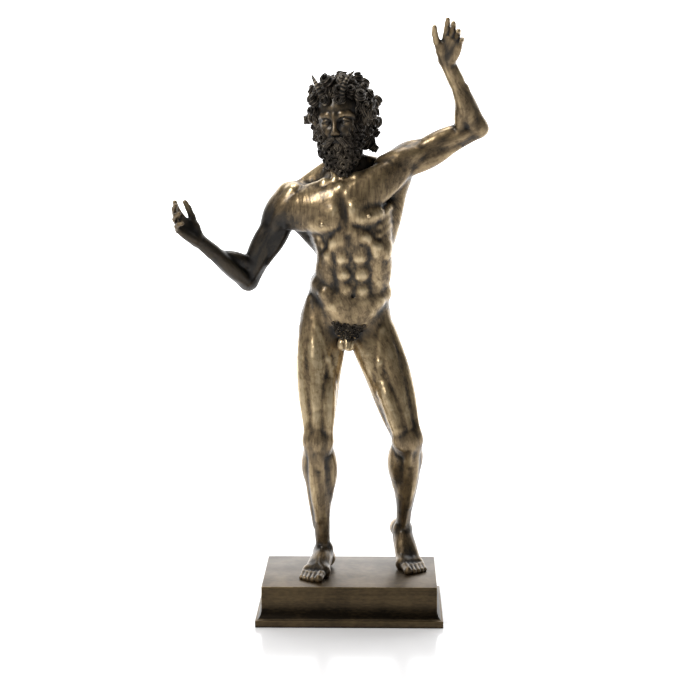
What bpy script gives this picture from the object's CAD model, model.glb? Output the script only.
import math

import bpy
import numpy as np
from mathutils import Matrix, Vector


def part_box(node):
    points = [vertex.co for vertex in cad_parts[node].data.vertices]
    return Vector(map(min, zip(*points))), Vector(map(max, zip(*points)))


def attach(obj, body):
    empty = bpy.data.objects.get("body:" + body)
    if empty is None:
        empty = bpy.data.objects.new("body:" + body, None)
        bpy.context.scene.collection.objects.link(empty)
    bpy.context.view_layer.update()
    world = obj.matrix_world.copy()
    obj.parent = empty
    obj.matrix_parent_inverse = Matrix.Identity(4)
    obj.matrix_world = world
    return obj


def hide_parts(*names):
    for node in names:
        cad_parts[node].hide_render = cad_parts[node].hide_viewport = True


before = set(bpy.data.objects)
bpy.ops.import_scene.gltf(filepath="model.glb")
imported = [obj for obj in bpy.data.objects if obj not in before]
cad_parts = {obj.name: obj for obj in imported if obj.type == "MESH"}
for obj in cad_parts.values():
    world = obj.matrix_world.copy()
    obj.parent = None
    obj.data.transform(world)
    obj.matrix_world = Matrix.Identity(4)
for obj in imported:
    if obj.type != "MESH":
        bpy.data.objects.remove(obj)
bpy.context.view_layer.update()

# %% [markdown]
# # A resin satyr with a bronze finish
# The object is a table statuette: a nude dancing satyr, cast in resin that is filled with bronze powder,
# on a moulded plinth of the same stuff. A dark stain is brushed over the casting and wiped off again, so
# it stays in the hollows, and the raised forms are rubbed until they shine a golden brown. This lesson
# models it the way a sculptor works. The skeleton is posed first, then the muscles are laid on as clay,
# then come the curls, and the finish is a material that knows where the skin is hollow and where it is
# raised. The loaded frame holds the casting's plain solids, so their box is measured before anything is
# added.

MM = 0.001
PLINTH_LOW, PLINTH_HIGH = (np.array(corner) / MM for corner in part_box("plinth"))
PLINTH_TOP = float(PLINTH_HIGH[2])
THIGH, SHANK, UPPER_ARM, FOREARM = 71.0, 70.5, 54.0, 43.0
SIDES = (-1, 1)  # the figure's right, on the viewer's left, and its left
GRID_STEP = 0.5
print("plinth top at %.1f mm, clay grid of %.2f mm" % (PLINTH_TOP, GRID_STEP))

# %% [markdown]
# ## Camera
# The photograph was taken with a long lens at the height of the figure's head, a little above a metre
# away. The plinth gives all of this: the ratio of its near and far edges tells the distance, the height of
# its top in the picture tells how far the camera looks down, and its parallel edges turn a little, so the
# eye is slightly to the right. The values below put every corner of the plinth within two pixels of its
# place in the photograph.

# %% Camera
PHOTO_SIZE = 700  # pixels
FOCAL_PIXELS = 1965
EYE = Vector((0.0200, -1.1220, 0.3135))
LOOKING_DOWN = math.radians(8.09)
LOOKING_LEFT = math.radians(1.03)


def make_camera():
    data = bpy.data.cameras.new("photo_camera")
    data.sensor_width = 36
    data.lens = data.sensor_width * FOCAL_PIXELS / PHOTO_SIZE
    camera = bpy.data.objects.new("photo_camera", data)
    bpy.context.scene.collection.objects.link(camera)
    camera.location = EYE
    camera.rotation_euler = (math.pi / 2 - LOOKING_DOWN, 0, LOOKING_LEFT)
    bpy.context.scene.camera = camera
    return camera


camera = make_camera()
print("lens %.1f mm, looking down by %.2f degrees" % (camera.data.lens, math.degrees(LOOKING_DOWN)))

# %% [markdown]
# ## Helpers for nodes
# The materials, the room and the shapes that follow a path are all trees of nodes. Written out one by one,
# the nodes hide what a tree does. So a node is added here by one short call that names its kind and gives
# its inputs, either as plain values or as the outputs of other nodes, and a whole tree reads like the sum
# that it works out.

# %% Adding nodes to a tree
class Nodes:
    """An input is given by its name, or by i and its number."""

    def __init__(self, tree):
        self.nodes, self.links = tree.nodes, tree.links

    def put(self, socket, value):
        if isinstance(value, bpy.types.NodeSocket):
            self.links.new(value, socket)
        else:
            socket.default_value = value

    def add(self, kind, _settings=(), **inputs):
        node = self.nodes.new(kind)
        for key, value in dict(_settings).items():
            setattr(node, key, value)
        for label, value in inputs.items():
            numbered = label[0] == "i" and label[1:].isdigit()
            self.put(node.inputs[int(label[1:]) if numbered else label.replace("_", " ")], value)
        return node

    def node(self, kind, _settings=(), **inputs):
        """Adds a node and returns its first output."""
        return self.add(kind, _settings, **inputs).outputs[0]

    def math(self, operation, *values):
        inputs = {"i%d" % n: value for n, value in enumerate(values)}
        return self.node("ShaderNodeMath", {"operation": operation}, **inputs)

    def plus(self, total, *others):
        for other in others:
            total = self.math("ADD", total, other)
        return total

    def minus(self, total, *others):
        for other in others:
            total = self.math("SUBTRACT", total, other)
        return total

    def times(self, *factors):
        return self.math("MULTIPLY", *factors)

    def xyz(self, vector):
        """The three parts of a vector."""
        return self.add("ShaderNodeSeparateXYZ", Vector=vector).outputs

    def coordinates(self, kind):
        return self.nodes.new("ShaderNodeTexCoord").outputs[kind]

    def spread(self, value, low, high, to_low=0.0, to_high=1.0):
        """Carries the range from low to high over to another range, gently at both ends."""
        return self.node("ShaderNodeMapRange", {"interpolation_type": "SMOOTHSTEP"}, Value=value,
                         From_Min=low, From_Max=high, To_Min=to_low, To_Max=to_high)


# %% A helper for materials
class Finish(Nodes):
    """A material that is one shader, with patterns on the inputs that vary over the surface."""

    def __init__(self, name):
        self.material = bpy.data.materials.new(name)
        self.material.use_nodes = True
        super().__init__(self.material.node_tree)
        self.shader = self.nodes["Principled BSDF"]

    def set(self, label, value):
        self.put(self.shader.inputs[label], value)

    def stored(self, name, output="Fac"):
        """A value that is stored on the mesh."""
        return self.add("ShaderNodeAttribute", {"attribute_name": name}).outputs[output]

    def place(self, scale=(1, 1, 1), vector=None):
        vector = vector if vector is not None else self.coordinates("Object")
        return self.node("ShaderNodeMapping", Vector=vector, Scale=scale)

    def noise(self, vector, scale, detail=3.0, roughness=0.55):
        return self.node("ShaderNodeTexNoise", Vector=vector, Scale=scale, Detail=detail,
                         Roughness=roughness)

    def stain(self, noise, amount):
        """A noise as something that lightens or darkens by the amount."""
        return self.spread(noise, 0.3, 0.7, -amount, amount)

    def ramp(self, value, stops):
        node = self.add("ShaderNodeValToRGB", i0=value)
        ramp = node.color_ramp
        while len(ramp.elements) < len(stops):
            ramp.elements.new(0.5)
        for element, (place, color) in zip(ramp.elements, stops):
            element.position = place
            element.color = (*color, 1)
        return node.outputs[0]

    def bump(self, height, strength, distance):
        return self.node("ShaderNodeBump", Height=height, Strength=strength, Distance=distance)

# %% [markdown]
# ## A white studio
# The statuette stands on a glossy white sheet that runs up behind it. A bronze finish shows mostly what it
# reflects, so the room matters as much as the lamps: the paper behind is lit brightly and draws white
# edges round the figure, and a soft lamp on the left draws the broad highlights. The room in front is dim
# above, so that the shadows stay dark, but its walls glow near the floor: without that, the line between
# the bright paper and a dark room would be mirrored as a hard line in both knees. The paper glows more the
# further back it lies, in place of the lamps that shine on it there.

# %% Floor, room and lamps
def white_paper(near_glow, far_glow):
    f = Finish("white_paper")
    f.set("Base Color", (0.90, 0.90, 0.91, 1))
    f.set("Roughness", 0.2)
    f.set("Emission Color", (1, 1, 1, 1))
    back = f.xyz(f.coordinates("Object"))["Y"]
    f.set("Emission Strength", f.spread(back, 0.05, 1.3, near_glow, far_glow))
    return f.material


def new_piece(name, vertices, faces):
    """A mesh object whose place is in its mesh. Vertices are in metres."""
    mesh = bpy.data.meshes.new(name)
    mesh.from_pydata([tuple(map(float, v)) for v in vertices], [], [tuple(map(int, f)) for f in faces])
    mesh.update()
    mesh.polygons.foreach_set("use_smooth", [True] * len(mesh.polygons))
    piece = bpy.data.objects.new(name, mesh)
    bpy.context.scene.collection.objects.link(piece)
    return piece


def make_sheet():
    """The white paper: flat under the statuette, then curving up behind it."""
    width, height, near, far = 5.0, 2.4, -2.5, 1.1
    bend, steps = 0.5, 12
    profile = [(near, 0.0), (far, 0.0)]
    for n in range(1, steps + 1):
        angle = n / steps * math.pi / 2
        profile.append((far + bend * math.sin(angle), bend * (1 - math.cos(angle))))
    profile.append((far + bend, height))
    vertices = [(x, y, z) for y, z in profile for x in (-width / 2, width / 2)]
    faces = [(2 * n, 2 * n + 1, 2 * n + 3, 2 * n + 2) for n in range(len(profile) - 1)]
    sheet = new_piece("paper_sheet", vertices, faces)
    sheet.data.materials.append(white_paper(0.12, 1.5))
    return sheet


LAMP_TARGET = Vector((0, 0, 0.17))  # the middle of the figure


def make_lamp(name, place, size, power, color=(1, 1, 1)):
    data = bpy.data.lights.new(name, "AREA")
    data.shape = "RECTANGLE"
    data.size, data.size_y = size
    data.energy = power
    data.color = color
    lamp = bpy.data.objects.new(name, data)
    lamp.location = place
    lamp.rotation_euler = (LAMP_TARGET - Vector(place)).to_track_quat("-Z", "Y").to_euler()
    bpy.context.scene.collection.objects.link(lamp)
    return lamp


def make_view():
    """Plain display colours, so that the paper can be as white as in the photograph."""
    bpy.context.scene.view_settings.view_transform = "Standard"


def make_room(color, level_glow, upper_glow):
    """The room around: its walls catch some light near the floor and get dim above."""
    room = bpy.data.worlds.new("dim_room")
    room.use_nodes = True
    tree = Nodes(room.node_tree)
    background = tree.nodes["Background"]
    tree.put(background.inputs["Color"], (*color, 1))
    height = tree.xyz(tree.coordinates("Generated"))["Z"]
    tree.put(background.inputs["Strength"], tree.spread(height, -0.05, 0.5, level_glow, upper_glow))
    bpy.context.scene.world = room


make_view()
make_sheet()
make_room((0.97, 0.98, 1.0), 0.45, 0.07)
make_lamp("soft_lamp_left", (-0.95, -0.85, 1.15), (0.5, 0.6), 15, (1.0, 0.98, 0.95))
make_lamp("top_lamp", (-0.1, 0.25, 1.4), (0.9, 0.6), 10)

# %% [markdown]
# ## The skeleton
# A figure stands well when its bones do, so the pose comes before any flesh. Every body part gets axes of
# its own: x to the figure's left, y to its back and z up. The pelvis tips down on the side of the lifted
# heel and the chest tips the other way, which gives the trunk the curve of a dancer. A limb reaches from
# joint to joint, and the knee follows from the lengths of thigh and shank. All of this is in millimetres,
# and becomes metres at the very end.

# %% Axes, limbs and joints
def vec(x, y, z):
    return np.array((x, y, z), float)


def unit(v):
    return v / np.linalg.norm(v)


def mix(a, b, share):
    return a * (1 - share) + b * share


UP = vec(0, 0, 1)


class Frame:
    """A body part's own axes."""

    def __init__(self, origin, x, y, z):
        self.origin, self.x, self.y, self.z = origin, x, y, z

    def at(self, x, y, z):
        return self.move(self.origin, x, y, z)

    def move(self, point, x, y, z):
        return point + self.x * x + self.y * y + self.z * z

    def local(self, points):
        return (points - self.origin) @ np.stack([self.x, self.y, self.z], 1)


def turned(origin, roll, pitch, turn):
    """Roll lowers the figure's left, pitch bows it forward and turn swings its left back, in degrees."""
    r, p, t = np.radians((roll, pitch, turn))
    about_y = np.array([[math.cos(r), 0, math.sin(r)], [0, 1, 0], [-math.sin(r), 0, math.cos(r)]])
    about_x = np.array([[1, 0, 0], [0, math.cos(p), -math.sin(p)], [0, math.sin(p), math.cos(p)]])
    about_z = np.array([[math.cos(t), -math.sin(t), 0], [math.sin(t), math.cos(t), 0], [0, 0, 1]])
    axes = about_z @ about_y @ about_x
    return Frame(origin, axes[:, 0], axes[:, 1], axes[:, 2])


class Bone:
    """A limb from a to b. Places on it are a share of its length, then mm to its front and outer side."""

    def __init__(self, a, b, front, outer):
        self.a, self.b = a, b
        self.length = np.linalg.norm(b - a)
        self.along = (b - a) / self.length
        self.front = unit(front - self.along * (front @ self.along))
        side = np.cross(self.along, self.front)
        self.outer = side if side @ outer > 0 else -side

    def at(self, share, front=0.0, outer=0.0):
        return self.a + self.along * (self.length * share) + self.front * front + self.outer * outer


def middle_joint(a, b, first, second, forward):
    """The knee of a leg that reaches from hip a to ankle b."""
    span = np.linalg.norm(b - a)
    along = (first**2 - second**2 + span**2) / (2 * span)
    line = (b - a) / span
    side = unit(forward - line * (forward @ line))
    return a + line * along + side * math.sqrt(max(first**2 - along**2, 0))


# %% The pose
pelvis = turned(vec(-2.4, 3.7, 170.8), roll=8, pitch=4, turn=7)
spine_top = pelvis.at(0, 0, 31) + unit(vec(-0.17, 0, 0.985)) * 31
chest = turned(spine_top + vec(2.5, -3, 0), roll=-11, pitch=-5, turn=-7)
head = turned(chest.at(1, 2.5, 24) + vec(-1, -5.5, 30), roll=-5, pitch=4, turn=-16)
hip = {s: pelvis.at(14 * s, 0, 0) for s in SIDES}
ankle = {-1: vec(-16, 5, 35), 1: vec(31, 25, 43.5)}
knee = {
    -1: middle_joint(hip[-1], ankle[-1], THIGH, SHANK, vec(-0.15, -1, 0)),
    1: middle_joint(hip[1], ankle[1], THIGH, SHANK, vec(0.45, -1, 0)),
}
shoulder = {-1: chest.at(-33, 1, 15), 1: chest.at(29, 3, 21)}
elbow = {
    -1: shoulder[-1] + unit(vec(-24, 6, -47)) * UPPER_ARM,
    1: shoulder[1] + unit(vec(46, -3, 23)) * UPPER_ARM,
}
wrist = {
    -1: elbow[-1] + unit(vec(-27, -19, 26)) * FOREARM,
    1: elbow[1] + unit(vec(-18, -9, 36)) * FOREARM,
}
palm = {-1: unit(vec(0.2, -0.75, 0.65)), 1: unit(vec(-0.15, -1, 0.1))}
reach = {-1: unit(vec(-19, -12, 19)), 1: unit(vec(6, -12, 19))}
for s in SIDES:
    print("knee", knee[s].round(1), "elbow", elbow[s].round(1), "wrist", wrist[s].round(1))

# %% [markdown]
# ## Clay
# Every bone and muscle is a belly of clay: a rounded roll between two points, thicker in the middle, that
# may be wider than deep. A belly is stored as a distance: negative inside, zero on the skin and positive
# outside. Two distances melt into one with a smooth minimum, which leaves a soft fold where two muscles
# meet. The folds get deeper where the blend is small. A cut does the same with the sign turned round.

# %% Clay
clay = []


def belly(a, b, radius, blend=2.5, side=None, wide=1.0, cut=False):
    """A roll of clay from a to b. The radius is one number, the two ends, or start, middle and end."""
    radii = (radius,) * 3 if np.isscalar(radius) else tuple(radius)
    if len(radii) == 2:
        radii = (radii[0], sum(radii) / 2, radii[1])
    side = None if side is None else unit(side)
    clay.append((a, b, radii, blend, side, wide if side is not None else 1.0, cut))


def chain(points, radii, blend, **how):
    for n in range(len(points) - 1):
        belly(points[n], points[n + 1], (radii[n], radii[n + 1]), blend, **how)


# %% [markdown]
# ## The trunk
# The rib cage, waist and hips are three wide rolls. On them lie the muscles that the light picks out: the
# chest plates that run to the arms, the saw of small muscles along the ribs, the paired rows of the belly
# with a furrow between them, the fold over the hip bone and the line of the groin. The back has its own:
# the shoulder blades, the broad sheets below them and the two columns beside the spine.

# %% Chest, ribs and belly
def trunk_masses():
    c, p = chest, pelvis
    belly(c.at(0, 2, 10), c.at(0, 0.5, -14), (15, 18.2, 15.6), 4, side=c.x, wide=1.33)  # rib cage
    belly(c.at(0, 0.8, -12), p.at(0, 0.2, 14), (15.4, 14.0, 14.4), 7, side=c.x, wide=1.31)  # waist
    belly(p.at(0, 0.8, 13), p.at(0, 1.2, -3), (13.8, 14.2, 12), 7, side=p.x, wide=1.42)  # hips
    belly(c.at(-15, 4, 15), c.at(15, 4, 15), (8, 10, 8), 5)  # from shoulder to shoulder


def chest_muscles(s):
    c = chest
    shoulder_point, arm_point = shoulder[s], elbow[s]
    armpit = c.move(mix(shoulder_point, arm_point, 0.2), 0, -3.2, 0)
    front = c.move(mix(shoulder_point, arm_point, 0.12), 0, -5.4, 0)
    belly(c.at(3.8 * s, -13.6, 9.5), front, (4.2, 6.4, 4.2), 4, side=c.z, wide=1.3)  # upper half of plate
    belly(c.at(5.4 * s, -15.0, 1), armpit, (4.2, 6.4, 3.8), 3.4, side=c.z, wide=1.5)  # lower half
    belly(c.at(8.5 * s, -15.0, -4), c.at(18 * s, -11.8, -2.6), (3.2, 4.4, 3.4), 3.4)  # its lower edge
    belly(c.at(13.6 * s, -18.0, -3.6), c.at(13.8 * s, -18.7, -3.6), 0.6, 1.0)  # nipple
    upper = mix(c.at(19 * s, -7.6, 17), shoulder_point, 0.3)
    belly(c.at(4.6 * s, -12.2, 15.4), upper, (3.2, 4.2, 3.6), 3.6)  # below the collar bone
    collar = [c.at(2.2 * s, -11.6, 19.4), c.at(9 * s, -11.0, 20.4),
              mix(c.at(17 * s, -6.6, 21.6), shoulder_point, 0.45), c.move(shoulder_point, 0, -1.5, 6.2)]
    chain(collar, (1.7, 1.5, 1.5, 1.6), 3.4)


def rib_saw(s):
    """Small muscles that reach forward from under the arm, one to each rib, and the arch of the ribs."""
    c = chest
    for n in range(5):
        height = -1.5 - 5 * n
        start = c.at((23.0 - 1.2 * n) * s, -3.4, height + 1.5)
        end = c.at((18.8 - 1.5 * n) * s, -10.2, height - 3.4)
        belly(start, end, (2.3, 2.7, 1.5), 2.2)
    arch = [c.at(3.0 * s, -14.7, -10.5), c.at(8.8 * s, -13.7, -14.5), c.at(13.8 * s, -10.9, -21),
            c.at(17.2 * s, -6, -26)]
    chain(arch, (1.6, 1.8, 2.0, 2.3), 3.2)


def belly_rows(s):
    """Rows of paired squares: share of the way down, place across, radius and half the height."""
    c, p = chest, pelvis
    rows = ((0.03, 4.5, 4.5, 1.7), (0.33, 4.8, 4.9, 2.1), (0.64, 4.8, 4.9, 2.1), (0.93, 4.4, 4.6, 1.7))
    for share, across, radius, half in rows:
        middle = mix(c.at(across * s, -12.6, -11.5), p.at(across * s, -11.4, 20), share)
        top, bottom = c.move(middle, 0.4 * s, 0, half), c.move(middle, 0, 0, -half)
        belly(top, bottom, radius, 1.7, side=c.x, wide=1.04)
    belly(p.at(4.7 * s, -10.8, 14), p.at(3.2 * s, -10.6, 0), (4.7, 4.8, 3.4), 4)


def flank(s):
    c, p = chest, pelvis
    belly(c.at(15.6 * s, -3.2, -22), p.at(15.0 * s, -3.2, 22), (5.2, 7.0, 6.0), 4.5)  # side of the waist
    belly(c.at(14.5 * s, 4, -22), p.at(14.8 * s, 4.5, 22), (5.2, 6.0, 6.0), 4.5)  # and further back
    belly(c.at(12.6 * s, -8.6, -23), p.at(12.8 * s, -8.2, 20), (2.4, 4.6, 3.8), 3.2)  # beside the belly rows
    fold = [p.at(11 * s, -11.6, 10), p.at(15.0 * s, -8.8, 15.6), p.at(18.4 * s, -3, 19.2),
            p.at(18.2 * s, 4, 19.8), p.at(13.6 * s, 9.2, 18.6)]
    chain(fold, (1.8, 3.3, 4.1, 3.9, 3), 3.4)
    groin = [p.at(17.8 * s, -14.6, 10), p.at(12 * s, -16.4, 2.5), p.at(6 * s, -17.3, -5)]
    chain(groin, (1.1, 1.6, 1.6), 2.6, cut=True)


# %% Hips and back
def buttock(s):
    p = pelvis
    belly(p.at(9.8 * s, 8.8, 8), p.at(11.2 * s, 10.8, -7), (10.2, 11.4, 9.6), 4.5)  # buttock
    belly(p.at(14.5 * s, 4, 17), p.at(17.8 * s, 2, -2), (6.0, 8.2, 7.4), 6)  # side of the hip
    belly(p.at(9.5 * s, -7.2, 14), p.at(7 * s, -8.6, 3), (6, 6.4, 4.5), 5)  # side of the lower belly


def back_muscles(s):
    c, p = chest, pelvis
    rear = c.move(mix(shoulder[s], elbow[s], 0.2), 0, 3.4, 0)
    shoulder_top = mix(c.at(20 * s, 5, 20), c.move(shoulder[s], 0, 0, 4.6), 0.65)
    belly(c.at(3 * s, 8, 31), shoulder_top, (4.6, 4.8, 3.6), 5.5)  # from neck to shoulder
    belly(c.at(4 * s, 10.6, 23), c.at(3.6 * s, 13.0, -6), (4.6, 5, 3.6), 5, side=c.x, wide=1.3)  # column
    blade_end = mix(c.at(24 * s, 8.4, 12), rear, 0.5)
    belly(c.at(9.5 * s, 12.8, 2), blade_end, (5.5, 6.2, 5.0), 5, side=c.z, wide=1.45)  # shoulder blade
    belly(c.at(10.5 * s, 13.0, -9), rear, (4.0, 5.2, 3.8), 4.5)  # from the blade to the arm
    belly(c.at(9.8 * s, 15.0, 8), c.at(10.8 * s, 14.8, -6), (1.6, 2.2, 1.6), 3.5)  # inner edge of the blade
    belly(c.at(8 * s, 11.8, -27), c.at(20 * s, 6.4, -5), (4, 6.2, 5.2), 5.5)  # broad sheet of the back
    belly(c.at(18 * s, 5.6, -17), mix(c.at(25 * s, 3, 6), rear, 0.45), (4.2, 5.8, 4.6), 5)  # its outer edge
    belly(p.at(4.2 * s, 11.6, 13), c.at(4.6 * s, 13.4, -10), (4.8, 5.2, 4.4), 4)  # lower part of the column


# %% Furrows, and the trunk as a whole
def furrows():
    """The middle furrow in front, the navel, the furrow of the spine and the cleft below it."""
    c, p = chest, pelvis
    belly(c.at(0, -13.6, 15), c.at(0, -14.4, -8), (3.4, 4.0, 3.2), 2.2)  # breastbone
    belly(c.at(0, -13.3, -11), p.at(0, -12.2, 19), (2.9, 2.9, 2.7), 1.2)  # middle of the belly
    belly(c.at(0, -19.7, 12), c.at(0, -19.9, -8), (1.4, 1.6, 1.4), 2.6, cut=True)  # between the plates
    belly(p.at(0, -17.3, 18.0), p.at(0, -14.8, 16.8), (1.1, 1.0, 0.6), 1.2, cut=True)  # navel
    belly(p.at(0, 19.4, 12), c.at(0, 20.6, 10), (1.9, 2.1, 0.9), 4, cut=True)  # furrow of the spine
    belly(p.at(0, 24.6, 4), p.at(0, 20.6, -16), (2, 3.2, 3), 2.4, cut=True)  # cleft


def trunk():
    trunk_masses()
    for s in SIDES:
        chest_muscles(s)
        rib_saw(s)
        back_muscles(s)
        flank(s)
        buttock(s)
        belly_rows(s)
    belly(pelvis.at(0, -9.8, 10), pelvis.at(0, -11.2, -5), (6, 6, 4.3), 3.5)  # lower belly
    furrows()


trunk()
print("rolls of clay in the trunk", len(clay))

# %% [markdown]
# ## Legs
# A thigh is not a cone. Its front has three heads: the long one in the middle, and one bulging low on each
# side of the knee. Behind it lie two cords that end beside the hollow of the knee. On the shank the calf
# sits high and behind, with two heads, and the shin's edge runs in front, almost straight, from the knee
# to the inner ankle.

# %% Legs
def leg(s):
    outward = pelvis.x * s
    thigh = Bone(hip[s], knee[s], vec(0.35, -1, 0) if s == 1 else vec(0, -1, 0.15), outward)
    shank = Bone(knee[s], ankle[s], mix(vec(0, -1, 0), thigh.front, 0.8), outward)
    muscles = (  # limb, start, end, radii and blend, from the hip down
        (thigh, (0.03, -1.5, 1), (1, -0.5, 0), (10.8, 9.4, 6.2), 5),  # core of the thigh
        (thigh, (0.02, 4.0, 3.6), (0.90, 4.4, 0.6), (4.4, 6.4, 2.0), 1.4),  # long head in front
        (thigh, (0.08, 1.0, 8.2), (0.94, 1.8, 4.8), (4.6, 6.7, 2.4), 1.5),  # outer head
        (thigh, (0.40, 3.8, -4.2), (0.90, 3.0, -4.4), (2.4, 5.4, 3.4), 1.3),  # inner head
        (thigh, (0.80, 2.6, -4.5), (1.04, 0.8, -4.2), (4.0, 3.8, 3.2), 3.0),  # inner side of the knee
        (thigh, (0.00, -2, -6.3), (0.72, -1.6, -4.2), (8.1, 7.6, 3.2), 3.0),  # inner side of the thigh
        (thigh, (0.14, -5.2, 3.4), (1.00, -4.6, 4.6), (5.4, 7.4, 2.3), 2.6),  # outer cord behind
        (thigh, (0.14, -5.2, -3.4), (1.02, -4.6, -4.4), (5.4, 7.0, 2.1), 2.6),  # inner cord behind
        (thigh, (-0.14, 3.6, 6.0), (0.34, 3.0, 8.4), (3.2, 4.2, 2.2), 1.8),  # from the hip bone down
        (shank, (0.02, 0, 0), (1, 0, 0), (5.6, 5.2, 3.9), 3.4),  # core of the shank
        (shank, (0.03, -4.2, -3.4), (0.54, -4.0, -3.4), (3.4, 7.2, 2.6), 1.9),  # inner head of the calf
        (shank, (0.04, -4.2, 3.6), (0.48, -4.0, 3.6), (3.2, 6.7, 2.4), 1.9),  # outer head, which ends higher
        (shank, (0.22, -3.0, 0), (0.80, -3.8, 0), (4.8, 6.6, 2.3), 2.2),  # below the calf
        (shank, (0.62, -5.2, 0), (1.05, -6.4, 0), (2.4, 1.6, 2.1), 2.0),  # sinew of the heel
        (shank, (0.06, 2.6, 3.0), (0.70, 3.2, 1.2), (2.6, 4.0, 1.8), 1.2),  # beside the shin
        (shank, (0.06, 4.3, -1.4), (0.93, 2.8, -0.7), (2.0, 1.9, 1.6), 1.2),  # edge of the shin
        (shank, (0.10, -0.5, 5.2), (0.78, -1.3, 3.5), (2.6, 3.6, 1.6), 1.4),  # outer side
        (shank, (0.66, 3.3, 1.3), (1.04, 3.4, -1.6), (1.6, 1.2, 1.5), 1.4),  # sinew in front of the ankle
        (shank, (0.97, 0.3, -3.4), (1.00, 0.2, -3.8), (1.9, 2.1, 1.9), 1.8),  # inner ankle
        (shank, (1.00, -0.8, 3.5), (1.03, -0.8, 3.8), (1.9, 2.0, 1.8), 1.8),  # outer ankle
    )
    for limb, start, end, radii, blend in muscles:
        belly(limb.at(*start), limb.at(*end), radii, blend)
    # a long band from the hip bone across the thigh to the inner side of the knee
    band = ((-0.14, 4.8, 6.8), (0.10, 7.2, 2.6), (0.34, 6.2, -3.6), (0.58, 2.6, -7.4), (0.84, -1.2, -6.6),
            (1.02, -2.6, -5.0))
    chain([thigh.at(*place) for place in band], (1.8, 2.3, 2.3, 2.1, 1.8, 1.4), 1.3)
    kneecap(thigh, shank)
    return thigh, shank


def kneecap(thigh, shank):
    cap = unit(thigh.front + shank.front)
    joint = shank.a
    behind = joint - cap * 1.2
    belly(behind - shank.outer * 3.6, behind + shank.outer * 3.6, (4.6, 4.8, 4.6), 3.6)
    belly(joint + cap * 4.6 - thigh.along * 4, joint + cap * 4.8 + shank.along * 3.4, (2.4, 3.2, 2.4), 1.8,
          side=shank.outer, wide=1.2)
    belly(thigh.at(0.80, 5.6, 0.4), joint + cap * 5.0 - thigh.along * 4.6, (1.6, 1.7, 1.6), 2.0)
    belly(joint + cap * 5.0 + shank.along * 2.5, shank.at(0.20, 4.2, 0), (2.0, 2.0, 1.8), 2.4)
    for side in SIDES:
        belly(joint + cap * 1.4 + shank.outer * 3.9 * side - thigh.along * 5,
              joint + cap * 0.6 + shank.outer * 3.9 * side + shank.along * 6, (3.2, 4.4, 3.2), 2.6)
        belly(joint + cap * 4.0 + shank.outer * 2.5 * side + shank.along * 2.6,
              joint + cap * 3.2 + shank.outer * 2.2 * side + shank.along * 8.5, (1.7, 2.2, 1.5), 2.0)


# %% [markdown]
# ## Feet
# A foot is an arch between the heel and the ball, and the toes lie flat in front of the ball. The standing
# foot is level. The other one has its heel up, so the arch is tilted while the toes still lie on the
# plinth. The soles reach slightly below the plinth's top and are pressed flat on it.

# %% Feet
SOLE_DEPTH = 0.5
FOOT_WIDTH = 0.9


def axes_of(origin, ahead, outer):
    """Axes of a foot's back or front part: x outward, y back, z up."""
    side = unit(outer - ahead * (outer @ ahead))
    up = np.cross(ahead, side)
    return Frame(origin, side * FOOT_WIDTH, -ahead, up if up @ UP > 0 else -up)


def foot(ankle_at, instep, toe_line, ball_at, outer):
    rear = axes_of(ankle_at, unit(instep), outer)
    toes = axes_of(ball_at, unit(toe_line), outer)
    belly(rear.at(0, 1, -2), rear.at(0, 7.8, -6.6), (4.2, 4.6, 5.2), 2.6)  # heel
    belly(rear.at(0, 6, -7), rear.at(1, -6, -8), (4.6, 4.2, 3.8), 3)  # sole behind
    belly(rear.at(-0.5, -1, -1), mix(rear.at(-1, -14, -6), toes.at(-2.5, 3, 1.5), 0.5), (4.5, 4.9, 3.6), 3)
    belly(rear.at(1, 0, -4), toes.at(4.6, 3, -0.2), (4.4, 4.2, 3), 3)  # outer edge
    belly(rear.at(-1.5, -3, -5), toes.at(-5, 1.5, 0.1), (4.6, 4, 3.8), 2.4)  # inner edge
    belly(toes.at(-5.2, 1, -0.1), toes.at(5.8, 2.6, -0.5), (3.6, 3.4, 3.0), 2.4)  # ball
    for n, across in enumerate((-3.8, -1.4, 0.9, 3.0)):
        start, end = rear.at(-0.6 + 0.4 * n, -4, 0.3 - 0.5 * n), toes.at(across, 2, 2.2 - 0.35 * n)
        belly(start, end, (0.8, 1.0, 0.8), 1.1)
    toe_sizes = ((-5.3, 11.6, 2.5), (-1.4, 11.2, 1.75), (1.7, 10.0, 1.65), (4.5, 8.5, 1.55),
                 (7.0, 6.6, 1.5))
    for n, (across, length, radius) in enumerate(toe_sizes):
        start = toes.at(across * 0.97, 1.2 + 0.55 * n, -0.6)
        arch = toes.at(across * 1.02, -length * 0.5 + 0.5 * n, -0.1 - 0.1 * n)
        tip = toes.at(across * 1.04, -length + 0.3, -3.7 + radius)
        belly(start, arch, (radius * 0.98, radius * 0.9, radius * 0.95), 1.5)
        belly(arch, tip, (radius * 0.95, radius * 0.95, radius), 0.55)
        nail = toes.move(tip, 0, 0.2, radius * 0.62)
        belly(nail, toes.move(nail, 0, -radius * 0.42, -0.12), radius * 0.5, 0.2, side=toes.x, wide=1.25)


def both_feet():
    ahead = unit(vec(-0.22, -1, 0))
    standing = ankle[-1] + ahead * 19 - UP * (8.3 + SOLE_DEPTH)
    foot(ankle[-1], ahead, ahead, standing, vec(-1, 0.2, 0))
    lifted = vec(35.5, 5.5, PLINTH_TOP + 3.7 - SOLE_DEPTH)
    foot(ankle[1], lifted + UP * 5 - ankle[1], vec(0.28, -1, 0), lifted, vec(1, 0.3, 0))
    return {-1: standing, 1: lifted}


thighs, shanks = zip(*(leg(s) for s in SIDES))
ball = both_feet()
print("rolls of clay so far", len(clay))

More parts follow.
